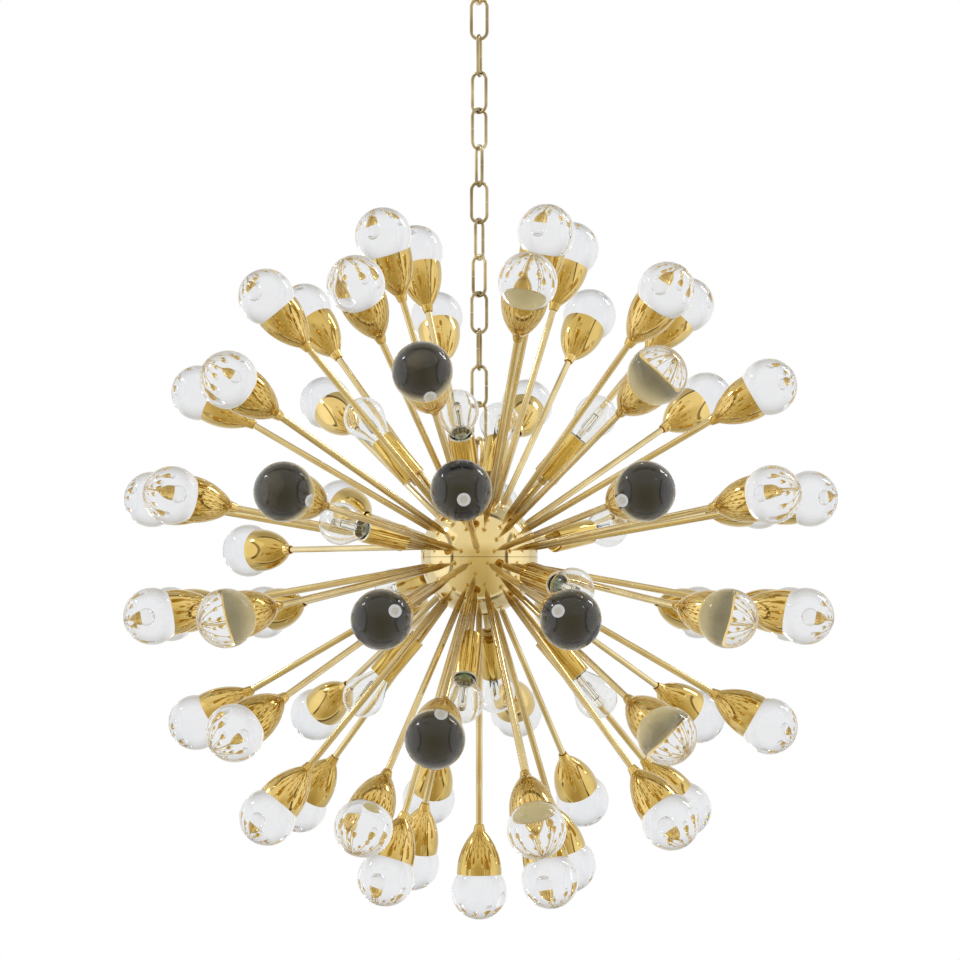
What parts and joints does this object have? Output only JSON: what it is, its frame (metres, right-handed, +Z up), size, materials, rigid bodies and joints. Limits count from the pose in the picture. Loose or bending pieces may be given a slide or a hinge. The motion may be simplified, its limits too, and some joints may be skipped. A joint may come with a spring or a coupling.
{
  "type": "chandelier",
  "caption": "Round hanging chandelier: brass arms radiate from a ball hub to flared cups with clear glass balls, with short lamp arms between them, on a chain and ceiling canopy.",
  "frame": {"origin": "centre of the ceiling bracket's upper face, midway between its two screw holes, in the plane of the ceiling", "axes": "+Z up along the chain, -Z down to the hub; +X along the bracket, to the right in the picture; +Y away from the viewer"},
  "size_m": [0.7682, 0.7682, 1.0627],
  "materials": {
    "polished_brass": "polished",
    "satin_brass": "satin",
    "dark_brass": "aged",
    "crystal_glass": "polished",
    "bulb_glass": "clear",
    "black_plastic": "matte",
    "zinc_steel": "plated"
  },
  "bodies": {
    "ceiling_mount": {"ceiling_bracket": "zinc_steel", "bracket_lock_nut": "zinc_steel", "canopy_nipple": "zinc_steel", "ceiling_canopy": "polished_brass", "canopy_collar": "polished_brass", "canopy_loop": "polished_brass"},
    "chain_link_01": {"chain_link_01": "satin_brass"},
    "chain_link_02": {"chain_link_02": "satin_brass"},
    "chain_link_03": {"chain_link_03": "satin_brass"},
    "chain_link_04": {"chain_link_04": "satin_brass"},
    "chain_link_05": {"chain_link_05": "satin_brass"},
    "chain_link_06": {"chain_link_06": "satin_brass"},
    "chain_link_07": {"chain_link_07": "satin_brass"},
    "chain_link_08": {"chain_link_08": "satin_brass"},
    "chain_link_09": {"chain_link_09": "satin_brass"},
    "chain_link_10": {"chain_link_10": "satin_brass"},
    "chain_link_11": {"chain_link_11": "satin_brass"},
    "chain_link_12": {"chain_link_12": "satin_brass"},
    "chandelier": {"hub_loop": "polished_brass", "hub_neck_collar": "polished_brass", "hub_upper_shell": "polished_brass", "hub_lower_shell": "polished_brass", "hub_tie_rod": "zinc_steel", "tie_rod_nut": "zinc_steel", "hub_terminal_block": "black_plastic", "arm_lock_nuts": "zinc_steel", "crystal_rods_upper_70": "satin_brass", "crystal_rods_upper_50": "satin_brass", "crystal_rods_upper_30": "satin_brass", "crystal_rods_upper_10": "satin_brass", "crystal_rods_lower_70": "satin_brass", "crystal_rods_lower_50": "satin_brass", "crystal_rods_lower_30": "satin_brass", "crystal_rods_lower_10": "satin_brass", "crystal_cups_upper_70": "polished_brass", "crystal_cups_upper_50": "polished_brass", "crystal_cups_upper_30": "polished_brass", "crystal_cups_upper_10": "polished_brass", "crystal_cups_lower_70": "polished_brass", "crystal_cups_lower_50": "polished_brass", "crystal_cups_lower_30": "polished_brass", "crystal_cups_lower_10": "polished_brass", "crystal_balls_upper_70": "crystal_glass", "crystal_balls_upper_50": "crystal_glass", "crystal_balls_upper_30": "crystal_glass", "crystal_balls_upper_10": "crystal_glass", "crystal_balls_lower_70": "crystal_glass", "crystal_balls_lower_50": "crystal_glass", "crystal_balls_lower_30": "crystal_glass", "crystal_balls_lower_10": "crystal_glass", "crystal_ferrules": "polished_brass", "ball_studs": "dark_brass", "lamp_tubes": "satin_brass", "lamp_collars": "polished_brass", "lamp_sleeves": "polished_brass", "lampholders": "black_plastic", "bulb_caps": "zinc_steel", "bulb_globes": "bulb_glass", "bulb_stems": "bulb_glass", "bulb_capsules": "bulb_glass"}
  },
  "joints": [
    {"name": "link_01_swing", "type": "hinge", "parent": "ceiling_mount", "child": "chain_link_01", "pos_m": [0, 0, -0.0765], "axis": [-0.2588, 0.9659, 0], "range_deg": [-15, 15]},
    {"name": "link_02_swing", "type": "hinge", "parent": "chain_link_01", "child": "chain_link_02", "pos_m": [0, 0, -0.11525], "axis": [1, 0, 0], "range_deg": [-15, 15]},
    {"name": "link_03_swing", "type": "hinge", "parent": "chain_link_02", "child": "chain_link_03", "pos_m": [0, 0, -0.15475], "axis": [-0.1736, -0.9848, 0], "range_deg": [-15, 15]},
    {"name": "link_04_swing", "type": "hinge", "parent": "chain_link_03", "child": "chain_link_04", "pos_m": [0, 0, -0.19425], "axis": [-0.8572, 0.515, 0], "range_deg": [-15, 15]},
    {"name": "link_05_swing", "type": "hinge", "parent": "chain_link_04", "child": "chain_link_05", "pos_m": [0, 0, -0.23375], "axis": [0.8572, 0.515, 0], "range_deg": [-15, 15]},
    {"name": "link_06_swing", "type": "hinge", "parent": "chain_link_05", "child": "chain_link_06", "pos_m": [0, 0, -0.27325], "axis": [0.3584, -0.9336, 0], "range_deg": [-15, 15]},
    {"name": "link_07_swing", "type": "hinge", "parent": "chain_link_06", "child": "chain_link_07", "pos_m": [0, 0, -0.31275], "axis": [-0.9848, 0.1736, 0], "range_deg": [-15, 15]},
    {"name": "link_08_swing", "type": "hinge", "parent": "chain_link_07", "child": "chain_link_08", "pos_m": [0, 0, -0.35225], "axis": [0.4695, 0.8829, 0], "range_deg": [-15, 15]},
    {"name": "link_09_swing", "type": "hinge", "parent": "chain_link_08", "child": "chain_link_09", "pos_m": [0, 0, -0.39175], "axis": [0.766, -0.6428, 0], "range_deg": [-15, 15]},
    {"name": "link_10_swing", "type": "hinge", "parent": "chain_link_09", "child": "chain_link_10", "pos_m": [0, 0, -0.43125], "axis": [-0.9397, -0.342, 0], "range_deg": [-15, 15]},
    {"name": "link_11_swing", "type": "hinge", "parent": "chain_link_10", "child": "chain_link_11", "pos_m": [0, 0, -0.47075], "axis": [0.1564, 0.9877, 0], "range_deg": [-15, 15]},
    {"name": "link_12_swing", "type": "hinge", "parent": "chain_link_11", "child": "chain_link_12", "pos_m": [0, 0, -0.51025], "axis": [0.9135, -0.4067, 0], "range_deg": [-15, 15]},
    {"name": "chandelier_swing", "type": "hinge", "parent": "chain_link_12", "child": "chandelier", "pos_m": [0, 0, -0.54975], "axis": [-0.829, -0.5592, 0], "range_deg": [-15, 15]}
  ]
}
